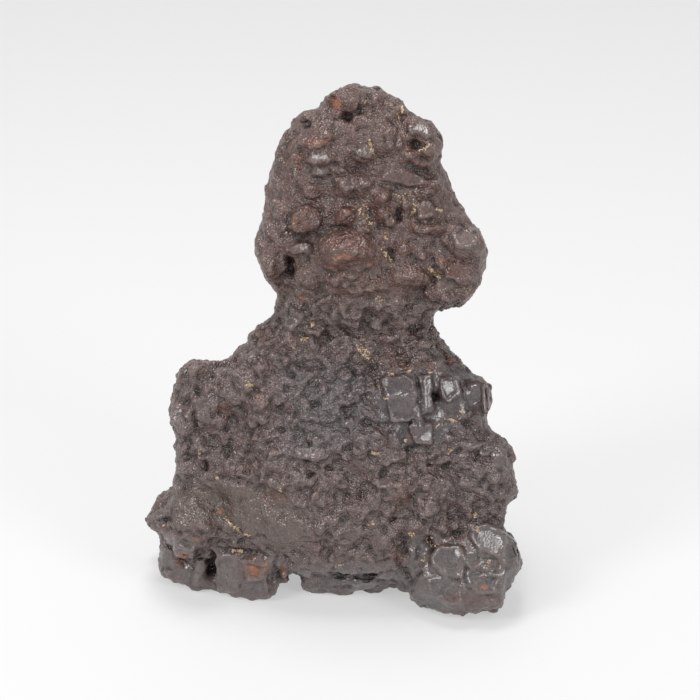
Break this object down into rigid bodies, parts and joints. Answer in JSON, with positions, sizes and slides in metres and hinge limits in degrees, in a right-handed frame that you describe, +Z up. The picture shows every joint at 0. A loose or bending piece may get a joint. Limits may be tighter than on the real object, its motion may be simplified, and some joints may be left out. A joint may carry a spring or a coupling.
{
  "type": "prophecy stone",
  "caption": "Free-standing natural ironstone concretion with a nodular head on a broad faceted body and several stubby feet.",
  "frame": {"origin": "on the floor, in the middle of the stone's width and depth", "axes": "+Z up, the side that the picture shows faces -Y, +X to its right"},
  "size_m": [0.0692, 0.0473, 0.0944],
  "materials": {
    "ironstone": "dull submetallic gloss"
  },
  "bodies": {
    "root": {"prophecy_stone": "ironstone"}
  },
  "joints": []
}
